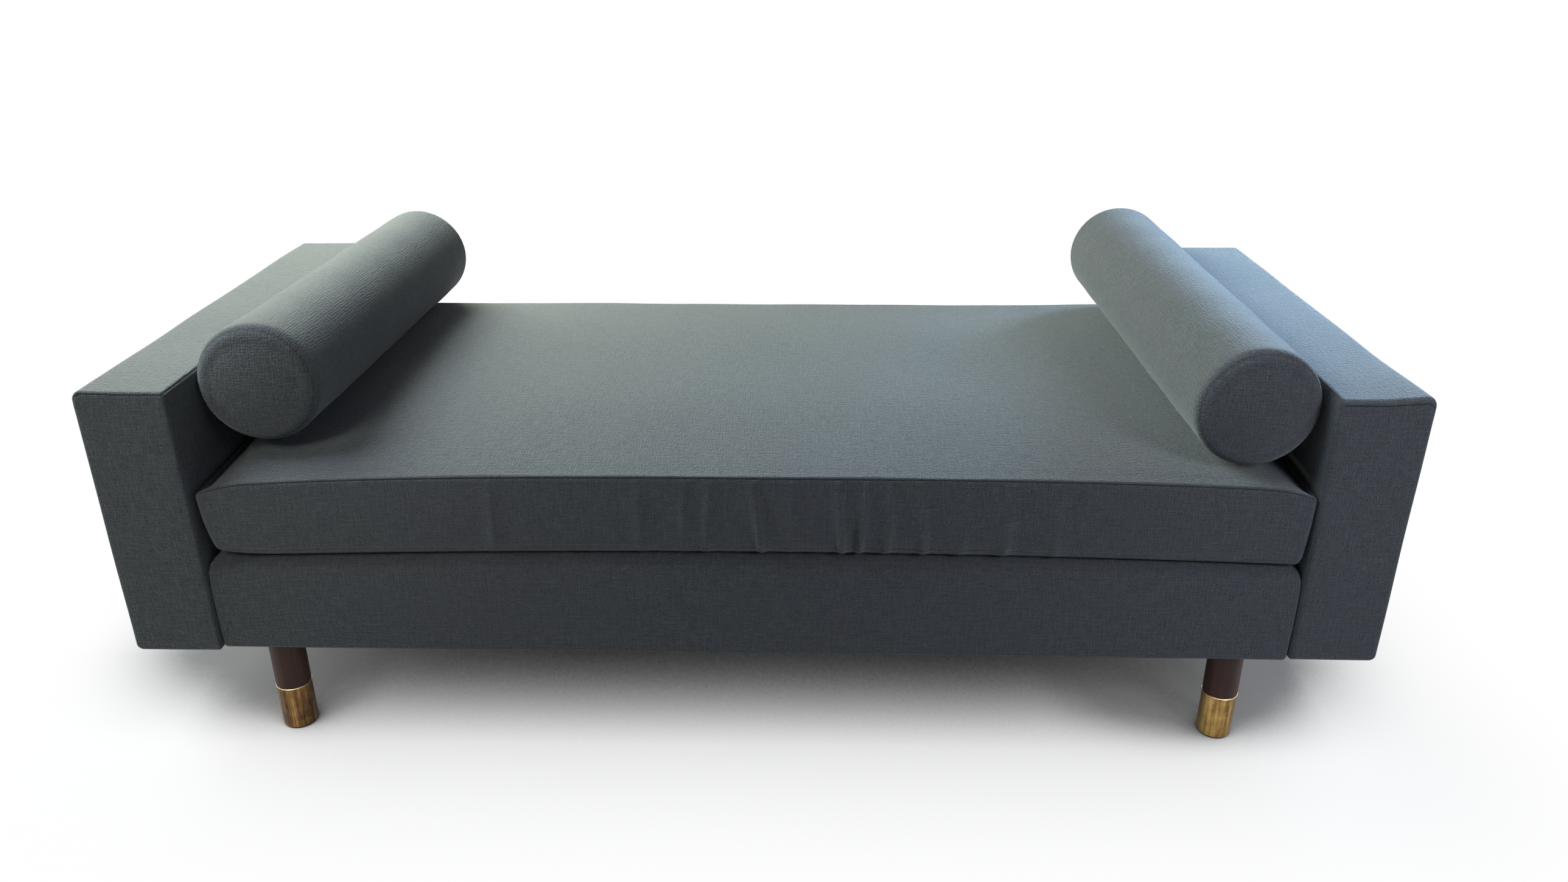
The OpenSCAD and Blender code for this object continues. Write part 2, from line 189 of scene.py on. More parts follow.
def make_cloth():
    """Slate basket weave: slubby threads over and under, dyed unevenly, with a soft nap.

    Painted shade darkens the gaps between the threads and the seams' sewn lines.
    """
    n = Nodes("slate_basket_cloth")
    cloth = n.add("ShaderNodeUVMap", uv_map="cloth").outputs["UV"]
    shift = n.math("MULTIPLY", n.math("SUBTRACT", n.noise(cloth, 45.0), 0.5), 1.6)

    def profile_of(axis):
        """Rise and fall across the threads that lie side by side along an axis of the cloth."""
        count = n.math("ADD", n.math("DIVIDE", n.split(cloth)[axis], THREAD), shift)
        return n.math("SINE", n.math("MULTIPLY", count, math.pi))

    warp, weft = profile_of("X"), profile_of("Y")
    thick_warp = n.noise(cloth, (1.0 / THREAD, 40.0, 1.0), 2.0, 0.6)
    thick_weft = n.noise(cloth, (40.0, 1.0 / THREAD, 1.0), 2.0, 0.6)

    def thread(profile, other, sign, thick):
        """Height of one set of threads, which shows where it passes over the other."""
        round_top = n.math("POWER", n.math("ABSOLUTE", profile), 0.7)
        crossing = n.math("MULTIPLY", n.math("SIGN", profile), other)
        over = n.math("MULTIPLY_ADD", crossing, sign * 0.5, 0.5)
        return n.math("MULTIPLY", n.math("MULTIPLY", round_top, over),
                      n.math("MULTIPLY", thick, 2.0))

    weave = n.math("MAXIMUM", thread(warp, weft, 1.0, thick_warp),
                   thread(weft, warp, -1.0, thick_weft))
    fuzz = n.noise(cloth, 900.0, 2.0, 0.7)
    pebbles = n.noise(cloth, (190.0, 260.0, 1.0), 1.5, 0.6)
    height = n.weighted((weave, 0.6), (fuzz, 0.35), (pebbles, 1.5))
    slub = n.weighted((thick_warp, 0.5), (thick_weft, 0.5))
    flecks = n.noise(cloth, 420.0, 3.0, 0.75)
    streaks = n.noise(cloth, (520.0, 22.0, 1.0), 2.0, 0.6)
    # The weave's height also lightens the threads' tops and darkens the gaps between them: painted
    # shade.
    tone_and_gap_shade = n.weighted((slub, 0.34), (weave, 0.08), (streaks, 0.10), (flecks, 0.50))
    base = n.ramp(tone_and_gap_shade, [
        (0.38, (0.046, 0.049, 0.055)),
        (0.50, (0.086, 0.093, 0.102)),
        (0.64, (0.152, 0.162, 0.170)),
    ])
    place = n.place()
    warm = n.remap(n.noise(place, 3.2, 3.0, 0.55), 0.35, 0.65)
    dyed = n.mix(warm, base, n.mix(0.4, base, (0.096, 0.093, 0.112)))
    lint = n.add("ShaderNodeTexVoronoi", inputs={"Vector": place, "Scale": 7.5}).outputs["Distance"]
    pits = n.speckles(n.noise(cloth, 330.0, 1.0, 0.4), 0.345, 0.6)
    pitted = n.mix(pits, dyed, (0.022, 0.024, 0.028))
    linty = n.mix(n.speckles(lint, 0.0085, 0.8), pitted, (0.45, 0.46, 0.46))
    # The seam value paints the cloth near black along each sewn line: painted shade in the seam's
    # crease.
    seam = n.add("ShaderNodeAttribute", attribute_name="seam").outputs["Fac"]
    seam_shaded = n.mix(seam, linty, (0.006, 0.007, 0.008))
    return n.surface(seam_shaded, 0.80, height, 0.9, 1.0 * MM, Specular_IOR_Level=0.25,
                     Sheen_Weight=0.35, Sheen_Roughness=0.5, Sheen_Tint=(0.84, 0.90, 0.90, 1.0))


def make_walnut():
    """Dark reddish walnut with long straight grain along the leg and small open pores."""
    n = Nodes("dark_walnut")
    place = n.place()
    grain = n.noise(place, (230.0, 230.0, 9.0), 5.0, 0.65)
    pores = n.noise(place, (900.0, 900.0, 30.0), 2.0, 0.5)
    bands = n.noise(place, (60.0, 60.0, 5.0), 2.0, 0.5)
    color = n.ramp(n.weighted((grain, 0.7), (bands, 0.3)), [
        (0.36, (0.022, 0.008, 0.007)),
        (0.50, (0.040, 0.013, 0.010)),
        (0.64, (0.078, 0.024, 0.014)),
    ])
    pored = n.mix(n.speckles(pores, 0.36, 0.6), color, (0.012, 0.005, 0.004))
    return n.surface(pored, 0.5, pores, 0.25, 0.4 * MM, Specular_IOR_Level=0.3)


def make_brass():
    """Aged brushed brass: upright brush lines and streaks, dark tarnish, a painted rim highlight.

    The streaks are partly brushing and partly painted reflection. The ferrules on the left are
    painted darker than those on the right: painted shade in their reflection."""
    n = Nodes("aged_brass_with_painted_light")
    place = n.place()
    lines = n.noise(place, (1500.0, 1500.0, 22.0), 3.0, 0.6)
    # Upright streaks, partly brushing and partly painted reflection in light and dark bands.
    streaks = n.noise(place, (95.0, 95.0, 5.0), 3.0, 0.6)
    tarnish = n.noise(place, 60.0, 5.0, 0.65)
    # The share of X paints the ferrules on the left darker than those on the right: painted shade.
    tarnish_and_painted_reflection = n.weighted((streaks, 0.62), (tarnish, 0.20), (lines, 0.18),
                       (n.split(place)["X"], 0.085))
    color = n.ramp(tarnish_and_painted_reflection, [
        (0.36, (0.060, 0.034, 0.022)),
        (0.46, (0.190, 0.105, 0.042)),
        (0.56, (0.400, 0.250, 0.080)),
        (0.68, (0.680, 0.500, 0.200)),
    ])
    # A painted highlight along the top rim.
    rim = n.remap(n.split(place)["Z"], FERRULE_TOP - 1.6 * MM, FERRULE_TOP - 0.6 * MM)
    rim_highlighted = n.mix(rim, color, (0.86, 0.68, 0.36))
    rough = n.remap(tarnish_and_painted_reflection, 0.38, 0.62, 0.42, 0.20)
    return n.surface(rim_highlighted, rough, lines, 0.3, 0.2 * MM, Metallic=1.0)


def make_board():
    """Planed light hardwood, for the boards inside the frame."""
    n = Nodes("frame_hardwood")
    grain = n.noise(n.place(), (6.0, 70.0, 70.0), 4.0, 0.6)
    color = n.ramp(grain, [(0.3, (0.33, 0.20, 0.10)), (0.7, (0.55, 0.38, 0.22))])
    return n.surface(color, 0.7, grain, 0.2, 0.5 * MM)


def make_speckled(name, low, high, scale, roughness, metallic=0.0, depth=0.6 * MM):
    """A plain stuff with fine mottling: foam, lining, nylon or steel."""
    n = Nodes(name)
    grain = n.noise(n.place(), scale, 3.0, 0.6)
    color = n.ramp(grain, [(0.35, low), (0.65, high)])
    return n.surface(color, roughness, grain, 0.4, depth, Metallic=metallic)


MATERIALS = {
    "upholstery": make_cloth(),
    "walnut": make_walnut(),
    "brass": make_brass(),
    "hardwood": make_board(),
    "foam": make_speckled("cut_foam", (0.62, 0.56, 0.38), (0.82, 0.76, 0.58), 900.0, 0.95),
    "lining": make_speckled(
        "black_lining", (0.006, 0.006, 0.007), (0.02, 0.02, 0.022), 1200.0, 0.95),
    "steel": make_speckled("zinc_steel", (0.38, 0.38, 0.40), (0.62, 0.62, 0.64), 400.0, 0.35, 1.0),
    "glide": make_speckled(
        "glide_nylon", (0.012, 0.012, 0.013), (0.035, 0.035, 0.037), 600.0, 0.6),
    "slider": make_speckled(
        "zip_slider", (0.03, 0.03, 0.032), (0.07, 0.07, 0.072), 500.0, 0.35, 1.0, 0.1 * MM),
    "zip": make_speckled("zip_nylon", (0.010, 0.011, 0.012), (0.03, 0.032, 0.034), 900.0, 0.5),
}


def dress_cad_nodes():
    """Gives every CAD node the material of its slot in the record."""
    for part in frame["record"]["subparts"]:
        mesh = frame["nodes"][part["node"]].data
        mesh.materials.clear()
        mesh.materials.append(MATERIALS[part["material_slot"]])


# --- Grids and soft boxes -------------------------------------------------------------------

MARK_LINES = (0.0, 0.9, 1.8, 3.0, 5.0, 8.0)  # mm from a seam or fold to the grid lines beside it
CLOSEST_LINES = 0.35 * MM


def lines_along(low, high, step, low_radii, high_radii, marks=()):
    """Grid lines along one axis: even steps, closer ones round the corners and beside the marks."""
    span = high - low
    count = max(2, int(round(span / step)))
    found = list(np.linspace(low, high, count + 1))
    for radii, edge, way in ((low_radii, low, 1.0), (high_radii, high, -1.0)):
        for radius in radii:
            for turn in np.linspace(0.0, math.pi / 4, 5):
                found.append(edge + way * radius * (1.0 - math.tan(turn)))
    for mark in marks:
        for shift in MARK_LINES:
            found += [mark - shift * MM, mark + shift * MM]
    found = sorted(value for value in found if low - 1e-9 <= value <= high + 1e-9)
    kept = [found[0]]
    for value in found[1:]:
        if value - kept[-1] > CLOSEST_LINES:
            kept.append(value)
    kept[-1] = high
    return np.array(kept)


def round_corners(cross, low, high, radii):
    """Moves points of a rectangle's section to the one with round corners, and gives their normals.

    radii: bottom left, bottom right, top left, top right."""
    middle = (low + high) / 2
    right = cross[:, 0] > middle[0]
    top = cross[:, 1] > middle[1]
    radius = np.select([~right & ~top, right & ~top, ~right & top], radii[:3], radii[3])
    core = np.clip(cross, low + radius[:, None], high - radius[:, None])
    out = cross - core
    longest = np.abs(out).max(axis=1)
    length = np.hypot(out[:, 0], out[:, 1])
    normal = out / np.maximum(length, 1e-12)[:, None]
    return core + normal * longest[:, None], normal


def soft_box(low, high, axes, radii, end_radius, step, marks=None):
    """Closed box with round edges. axes = (u, v, w): u-v is the cross-section, w runs along it.

    Returns the vertices, the faces, and for each face corner its place on the cloth in metres."""
    marks = marks or {}
    u, v, w = axes
    left, right = (radii[0], radii[2]), (radii[1], radii[3])
    bottom, top = radii[:2], radii[2:]
    ends = (end_radius,)
    lines = {
        u: lines_along(low[u], high[u], step, left, right, marks.get(u, ())),
        v: lines_along(low[v], high[v], step, bottom, top, marks.get(v, ())),
        w: lines_along(low[w], high[w], step, ends, ends, marks.get(w, ())),
    }
    last = {axis: len(lines[axis]) - 1 for axis in axes}
    index, points, faces, cloth = {}, [], [], []

    def corner(key):
        if key not in index:
            index[key] = len(points)
            place = [0.0, 0.0, 0.0]
            for axis, n in zip(axes, key):
                place[axis] = lines[axis][n]
            points.append(place)
        return index[key]

    def side(fixed, at, first, second, flip):
        order = [axes.index(axis) for axis in (fixed, first, second)]
        for a in range(last[first]):
            for b in range(last[second]):
                quad, flat = [], []
                for da, db in ((0, 0), (1, 0), (1, 1), (0, 1)):
                    key = [0, 0, 0]
                    key[order[0]] = at
                    key[order[1]] = a + da
                    key[order[2]] = b + db
                    quad.append(corner(tuple(key)))
                    place = (lines[first][a + da], lines[second][b + db])
                    flat.append(place[::-1] if fixed == u else place)
                if flip:
                    quad.reverse()
                    flat.reverse()
                faces.append(quad)
                cloth.extend(flat)

    handed = np.linalg.det(np.eye(3)[[u, v, w]]) > 0
    side(u, last[u], v, w, not handed)
    side(u, 0, v, w, handed)
    side(v, last[v], w, u, not handed)
    side(v, 0, w, u, handed)
    side(w, last[w], u, v, not handed)
    side(w, 0, u, v, handed)

    flat = np.array(points)
    lo2, hi2 = np.array([low[u], low[v]]), np.array([high[u], high[v]])
    cross = flat[:, [u, v]]
    inset = np.minimum(cross - lo2, hi2 - cross).min(axis=1)
    rounded, normal = round_corners(cross, lo2, hi2, radii)
    from_end = np.minimum(flat[:, w] - low[w], high[w] - flat[:, w])
    a = np.maximum(end_radius - inset, 0.0)
    b = np.maximum(end_radius - from_end, 0.0)
    length = np.maximum(np.hypot(a, b), 1e-12)
    longest = np.maximum(a, b)
    new_inset = end_radius - a * longest / length
    new_end = end_radius - b * longest / length
    shift = np.where(a > 0, new_inset - inset, 0.0)
    rounded = rounded - normal * shift[:, None]
    near_low = flat[:, w] < (low[w] + high[w]) / 2
    along = np.where(near_low, low[w] + new_end, high[w] - new_end)
    result = flat.copy()
    result[:, u], result[:, v] = rounded[:, 0], rounded[:, 1]
    result[:, w] = np.where(b > 0, along, flat[:, w])
    return result, faces, cloth


def build_piece(name, points, faces, cloth, material, seam=None):
    """Mesh object with, where given, the cloth's own coordinates and the painted shade along its
    seams.
    """
    mesh = bpy.data.meshes.new(name)
    mesh.from_pydata([tuple(p) for p in points], [], faces)
    if cloth is not None:
        layer = mesh.uv_layers.new(name="cloth")
        layer.data.foreach_set("uv", np.array(cloth, np.float32).ravel())
    if seam is not None:
        attribute = mesh.attributes.new("seam", "FLOAT", "POINT")
        attribute.data.foreach_set("value", np.asarray(seam, np.float32))
    mesh.shade_smooth()
    mesh.materials.append(material)
    mesh.update()
    piece = bpy.data.objects.new(name, mesh)
    bpy.context.scene.collection.objects.link(piece)
    return piece


def as_quads(faces):
    """Faces as an array of four corners each, where a triangle repeats its last one."""
    return np.array([face if len(face) == 4 else face + face[-1:] for face in faces])


def vertex_normals(points, faces):
    """Area-weighted normals of the vertices."""
    quads = as_quads(faces)
    a, b, c, d = (points[quads[:, n]] for n in range(4))
    across = np.cross(c - a, d - b)
    normals = np.zeros_like(points)
    for n in range(4):
        np.add.at(normals, quads[:, n], across)
    return normals / np.maximum(np.linalg.norm(normals, axis=1), 1e-12)[:, None]


def distance_to_path(points, path, closed=False):
    """Distance from each point to a polyline, and the length along it to the nearest place."""
    path = np.asarray(path, float)
    starts, stops = path[:-1], path[1:]
    if closed:
        starts, stops = path, np.roll(path, -1, axis=0)
    best = np.full(len(points), np.inf)
    along = np.zeros(len(points))
    run = 0.0
    for start, stop in zip(starts, stops):
        way = stop - start
        length = np.linalg.norm(way)
        share = np.clip((points - start) @ way / (length * length), 0.0, 1.0)
        gap = np.linalg.norm(points - start - share[:, None] * way, axis=1)
        closer = gap < best
        best[closer] = gap[closer]
        along[closer] = run + share[closer] * length
        run += length
    return best, along


def bell(distance, width):
    """1 at no distance, and close to 0 from twice the width on."""
    return np.exp(-(distance / width) ** 2)


def pucker(along):
    """Small uneven waves along a seam, from -1 to 1."""
    return np.sin(along * 310.0 + 2.0 * np.sin(along * 53.0))


def sew(points, normals, path, depth, width, ripple=0.12 * MM):
    """Sinks a seam along a path into the surface; returns new points and the painted shade along
    the seam.
    """
    gap, along = distance_to_path(points, path)
    rise = 0.12 * depth * bell(gap - 4.0 * width, 2.5 * width)
    rise += ripple * pucker(along) * bell(gap, 6.0 * width)
    moved = points + normals * (rise - depth * bell(gap, width))[:, None]
    return moved, bell(gap, 0.8 * width)


def waves(points, seed, size, count=6):
    """Smooth low bumps from a few seeded plane waves, about -1 to 1."""
    rng = np.random.default_rng(seed)
    total = np.zeros(len(points))
    for _ in range(count):
        way = rng.normal(size=3)
        way /= np.linalg.norm(way)
        pitch = size * rng.uniform(0.7, 1.6)
        total += np.sin(points @ way * math.tau / pitch + rng.uniform(0, math.tau))
    return total / math.sqrt(2.0 * count)


def smooth_field(values, faces, rounds):
    """Evens a value per vertex out over the mesh."""
    quads = as_quads(faces)
    corners = quads.ravel()
    count = np.maximum(np.bincount(corners, minlength=len(values)), 1)
    for _ in range(rounds):
        mean = np.repeat(values[quads].mean(axis=1), 4)
        values = np.bincount(corners, mean, len(values)) / count
    return values


def swell(points, faces, inset, cap, voxel, rounds):
    """Blows a slightly smaller copy up as cloth.

    Returns how far each point goes along its normal, at most cap, and the normals."""
    normals = vertex_normals(points, faces)
    scene = bpy.context.scene
    mesh = bpy.data.meshes.new("swell_start")
    mesh.from_pydata([tuple(p) for p in points - normals * inset], [], faces)
    start = bpy.data.objects.new("swell_start", mesh)
    scene.collection.objects.link(start)
    remesh = start.modifiers.new("voxels", "REMESH")
    remesh.mode = "VOXEL"
    remesh.voxel_size = voxel
    graph = bpy.context.evaluated_depsgraph_get()
    remeshed = bpy.data.meshes.new_from_object(start.evaluated_get(graph))
    sheet = bpy.data.objects.new("swell_sheet", remeshed)
    bpy.data.objects.remove(start)
    scene.collection.objects.link(sheet)
    cloth = sheet.modifiers.new("cloth", "CLOTH")
    cloth.settings.use_pressure = True
    cloth.settings.uniform_pressure_force = SWELL_PRESSURE
    cloth.settings.effector_weights.gravity = 0.0
    cloth.point_cache.frame_start = 1
    cloth.point_cache.frame_end = SWELL_FRAMES
    for step in range(1, SWELL_FRAMES + 1):
        scene.frame_set(step)
    graph = bpy.context.evaluated_depsgraph_get()
    blown = sheet.evaluated_get(graph).to_mesh()
    tree = BVHTree.FromPolygons(
        [v.co.copy() for v in blown.vertices], [p.vertices for p in blown.polygons])
    sheet.evaluated_get(graph).to_mesh_clear()
    bpy.data.objects.remove(sheet)
    scene.frame_set(1)
    reach = 6.0 * cap + inset
    moved = np.zeros(len(points))
    for n, (point, normal) in enumerate(zip(points, normals)):
        origin = Vector(point + normal * reach)
        hit = tree.ray_cast(origin, Vector(-normal), 2.0 * reach)[0]
        if hit is None:
            hit = tree.find_nearest(Vector(point))[0]
        moved[n] = (np.array(hit) - point) @ normal
    return smooth_field(np.clip(moved, -inset, cap), faces, rounds), normals


def deck_bow(x):
    """How far the deck, and what lies on it, rises in the middle and sinks at the ends."""
    half_span = ARM_BOX["right"][0][0]
    return DECK_BOW * (1.0 - 2.0 * np.clip(np.abs(x) / half_span, 0.0, 1.0) ** 2)


def share_up(points, bottom, top):
    """Height of each point as a share of the way from bottom to top."""
    return np.clip((points[:, 2] - bottom) / (top - bottom), 0, 1)


def dress(piece, body, *nodes, fill=0.9):
    """Hangs a padded piece on what it rides on and hides the CAD nodes it stands for."""
    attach(piece, body)
    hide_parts(*nodes)


# --- Where the bolsters lie -----------------------------------------------------------------

BOLSTER_SINK = {  # how far a bolster's front and back end lie below the CAD one's
    "left": (-8 * MM, 11 * MM),
    "right": (7 * MM, -16 * MM),
}
BOLSTER_LONGER = {"left": 30 * MM, "right": 16 * MM}  # how far a sleeve passes its core in front


def bolster_axis(side):
    """Front and back end of a bolster's axis and its radius, from its CAD cover."""
    vertices = np.array([v.co for v in frame["nodes"][f"bolster_cover_{side}"].data.vertices])
    low, high = vertices.min(0), vertices.max(0)
    radius = (high[2] - low[2]) / 2
    slab = 0.15 * (high[1] - low[1])
    centres = []
    for near_end in (vertices[:, 1] < low[1] + slab, vertices[:, 1] > high[1] - slab):
        across = vertices[near_end, 0]
        centres.append((across.min() + across.max()) / 2)
    lean = (centres[1] - centres[0]) / (high[1] - low[1] - slab)
    middle = (low + high) / 2
    middle[0] = (centres[0] + centres[1]) / 2
    half = np.array([lean, 1.0, 0.0]) * (high[1] - low[1]) / 2
    return middle - half, middle + half, radius


def bolster_line(side):
    """Front and back end of a bolster's axis as it lies in the soft seat, and its radius."""
    front, back, radius = bolster_axis(side)
    sink = BOLSTER_SINK[side]
    longer = (back - front) / np.linalg.norm(back - front) * BOLSTER_LONGER[side]
    return front - longer - (0, 0, sink[0]), back - (0, 0, sink[1]), radius


# --- Arms -----------------------------------------------------------------------------------

PANEL_DROP = {"left": 3.5 * MM, "right": 8 * MM}  # from an arm's top to its front panel's seam
PLUMP = {"left": 2 * MM, "right": 6 * MM}  # how far an arm's outer front corner stands up


def make_arm(side):
    """Sewn cover of one arm: top and outside in one, with front, back and inside panels let in."""
    low, high = ARM_BOX[side]
    way = SIDES[side]
    outer_top, outer_low, seam_edge = 15 * MM, 11 * MM, 6 * MM
    drop = PANEL_DROP[side]
    seam_z = high[2] - drop
    if way < 0:
        radii = (outer_low, seam_edge, outer_top, seam_edge)
        inner_x, outer_x = high[0], low[0]
    else:
        radii = (seam_edge, outer_low, seam_edge, outer_top)
        inner_x, outer_x = low[0], high[0]
    lip = 1.0 * MM
    points, faces, cloth = soft_box(
        low, high, (0, 2, 1), radii, drop + 1 * MM, 12 * MM,
        {2: [seam_z], 0: [inner_x + way * drop]})
    normals = vertex_normals(points, faces)
    middle = (low + high) / 2
    half = (high - low) / 2
    share = np.clip(np.abs((points - middle) / half), 0, 1)
    pillow = np.ones(len(points))
    for axis in range(3):
        others = [n for n in range(3) if n != axis]
        facing = np.abs(normals[:, axis]) > 0.7
        dome = (1.0 - share[:, others] ** 6).min(axis=1)
        pillow = np.where(facing, np.minimum(pillow, dome), pillow)
    pillow = np.where(np.abs(normals).max(axis=1) > 0.7, pillow, 0.0)
    outward = np.where(normals[:, 0] * -way > 0.7, 0.2, 1.0)
    rise = 1.6 * MM * pillow * outward + 0.6 * MM * waves(points, 11, 0.2)
    points = points + normals * rise[:, None]
    # The seams sink in, and their lines are painted near black: painted shade in each seam's
    # crease.
    seam = np.zeros(len(points))
    for end in ENDS.values():
        edge_y = middle[1] + end * half[1]
        path = [(inner_x, edge_y, seam_z), (outer_x - way * outer_top, edge_y, seam_z),
                (outer_x - way * 5 * MM, edge_y, seam_z - 5 * MM),
                (outer_x, edge_y, seam_z - outer_top)]
        points, dark = sew(points, normals, path, 1.3 * MM, 1.3 * MM)
        seam = np.maximum(seam, dark)
    path = [(inner_x, end_y, high[2] - lip) for end_y in (low[1] + lip, high[1] - lip)]
    points, dark = sew(points, normals, path, 2.0 * MM, 1.5 * MM)
    seam = np.maximum(seam, dark)
    near_front = np.clip(1.0 - (points[:, 1] - low[1]) / (0.5 * half[1]), 0, 1) ** 2
    near_outer = np.clip((points[:, 0] - middle[0]) * way / half[0], 0, 1)
    points[:, 2] += PLUMP[side] * near_front * near_outer * share_up(points, low[2], high[2]) ** 8
    arm = build_piece(f"arm_cover_{side}", points, faces, cloth, MATERIALS["upholstery"], seam)
    dress(arm, "frame", *ARM_NODES[side])


# --- Rails and deck -------------------------------------------------------------------------

def make_rail(end):
    """Padded rail cover: a full round upper edge, bowed like the deck, and a hanging lower edge."""
    node = f"{end}_rail_cover"
    low, high = node_box(node)
    edge, small = 26 * MM, 5 * MM
    front = ENDS[end] < 0
    radii = (small, small, edge, small) if front else (small, small, small, edge)
    points, faces, cloth = soft_box(low, high, (1, 2, 0), radii, 7 * MM, 12 * MM)
    normals = vertex_normals(points, faces)
    rise = share_up(points, low[2], high[2])
    belly = np.sin(math.pi * rise) * np.clip(normals[:, 1] * ENDS[end], 0, 1)
    points = points + normals * (2.5 * MM * belly + 0.7 * MM * waves(points, 23, 0.3))[:, None]
    to_end = high[0] - np.abs(points[:, 0])
    corner = 9 * MM * np.exp(-to_end / (9 * MM)) * rise ** 8
    hang = 4 * MM + 2.5 * MM * points[:, 0] / high[0]
    points[:, 2] += deck_bow(points[:, 0]) * rise ** 3 - corner - hang * (1.0 - rise) ** 4
    rail = build_piece(f"{end}_rail_sleeve", points, faces, cloth, MATERIALS["upholstery"])
    dress(rail, "frame", node)


def make_deck():
    """Padded deck under the cushion, covered in the same cloth."""
    low, high = node_box("deck_pad")
    radii = (3 * MM, 3 * MM, 8 * MM, 8 * MM)
    points, faces, cloth = soft_box(low, high, (1, 2, 0), radii, 6 * MM, 20 * MM)
    rise = share_up(points, low[2], high[2])
    normals = vertex_normals(points, faces)
    ripple = np.where(normals[:, 2] > 0.7, waves(points, 71, 0.3) - 1.0, 0.0)
    points[:, 2] += deck_bow(points[:, 0]) * rise + 0.4 * MM * ripple
    deck = build_piece("deck_cover", points, faces, cloth, MATERIALS["upholstery"])
    dress(deck, "frame", "deck_pad")


# --- Seat cushion ---------------------------------------------------------------------------

SEAM_LIFT = {  # of the top seam above its CAD height: at the left end, middle and right end
    "front": (-17 * MM, 6 * MM, -10 * MM),
    "back": (8 * MM, 10 * MM, 15 * MM),
}
CORNER_DROP = {"front": 12 * MM, "back": 4 * MM}
TURN = 3.5 * MM  # how far the top panel turns over the seam
FOLD_DEPTH = 4.0 * MM
FOLDS = (  # soft folds in the front border: place in m, depth, half width in mm, slant
    (-0.386, 0.7, 9.0, 0.1), (-0.164, 0.8, 10.0, -0.1), (-0.100, 0.8, 8.0, 0.1),
    (-0.065, 1.0, 9.0, 0.2), (0.014, 1.9, 8.0, -0.3), (0.060, 0.7, 9.0, 0.1),
    (0.136, 2.0, 8.0, -0.2), (0.166, 1.6, 6.5, 0.25), (0.205, 1.2, 8.0, 0.2),
    (0.258, 1.4, 8.0, -0.15), (0.318, 0.9, 9.0, 0.2), (0.382, 1.3, 9.0, 0.15),
    (0.455, 0.7, 10.0, -0.1),
)


def seam_lift(x, y):
    """Lift of the top seam at a place given as shares of the half width and half depth."""
    lifts = []
    for end in ("front", "back"):
        left, middle, right = SEAM_LIFT[end]
        side = np.where(x < 0, left, right)
        corner = np.clip((np.abs(x) - 0.90) / 0.10, 0, 1) ** 2
        lifts.append(middle + (side - middle) * np.abs(x) ** 3.2 - CORNER_DROP[end] * corner)
    share = (np.clip(y, -1, 1) + 1.0) / 2
    return lifts[0] * (1.0 - share) + lifts[1] * share


def press_bolsters(points, play):
    """Pushes a surface down to clear both bolsters."""
    for side in SIDES:
        front, back, radius = bolster_line(side)
        share = np.clip((points[:, 1] - front[1]) / (back[1] - front[1]), -0.04, 1.04)
        axis = front + share[:, None] * (back - front)
        beside = np.abs(points[:, 0] - axis[:, 0])
        reach = (radius + play) ** 2 - beside ** 2
        under = axis[:, 2] - np.sqrt(np.maximum(reach, 0.0))
        inside = (reach > 0) & (points[:, 1] > front[1] + 4 * MM)
        points[:, 2] = np.where(inside, np.minimum(points[:, 2], under), points[:, 2])
    return points


